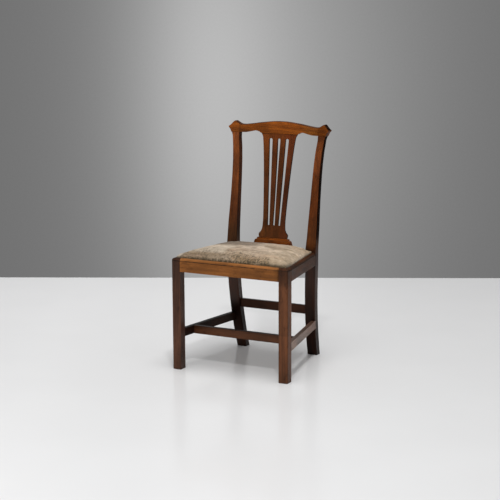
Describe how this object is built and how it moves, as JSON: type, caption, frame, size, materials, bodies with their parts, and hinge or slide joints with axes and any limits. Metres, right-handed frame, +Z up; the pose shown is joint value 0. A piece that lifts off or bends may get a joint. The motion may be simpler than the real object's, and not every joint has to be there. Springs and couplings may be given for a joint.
{
  "type": "dining side chair",
  "caption": "Square-backed wooden side chair with serpentine crest rail, pierced splat, moulded shoe, drop-in upholstered seat, square front legs, raked back legs and stretchers.",
  "frame": {"origin": "on the floor, under the middle of the chair's bounding box", "axes": "+Z up, -Y the way the chair faces, +X to the right as seen from the front"},
  "size_m": [0.506, 0.492, 0.956],
  "materials": {
    "show_wood": "polished",
    "dark_wood": "polished, darkened",
    "frame_wood": "bare",
    "velvet": "worn cut pile",
    "jute": "coarse weave",
    "horsehair": "loose hair"
  },
  "bodies": {
    "frame": {"front_leg_right": "show_wood", "front_leg_left": "show_wood", "back_post_right": "show_wood", "back_post_left": "show_wood", "front_rail": "show_wood", "side_rail_right": "show_wood", "side_rail_left": "show_wood", "back_rail": "show_wood", "crest_rail": "show_wood", "splat": "show_wood", "shoe": "show_wood", "side_stretcher_right": "dark_wood", "side_stretcher_left": "dark_wood", "cross_stretcher": "dark_wood", "back_stretcher": "dark_wood", "front_corner_block_right": "frame_wood", "front_corner_block_left": "frame_wood", "back_corner_block_right": "frame_wood", "back_corner_block_left": "frame_wood"},
    "drop_in_seat": {"seat_frame_side_right": "frame_wood", "seat_frame_side_left": "frame_wood", "seat_frame_front": "frame_wood", "seat_frame_back": "frame_wood", "long_webbing_1": "jute", "long_webbing_2": "jute", "long_webbing_3": "jute", "cross_webbing_1": "jute", "cross_webbing_2": "jute", "cross_webbing_3": "jute", "hessian": "jute", "stuffing": "horsehair", "seat_cover": "velvet"}
  },
  "joints": [
    {"name": "seat_lift", "type": "slide", "parent": "frame", "child": "drop_in_seat", "axis": [0, 0, 1], "range_m": [0, 0.12]}
  ]
}
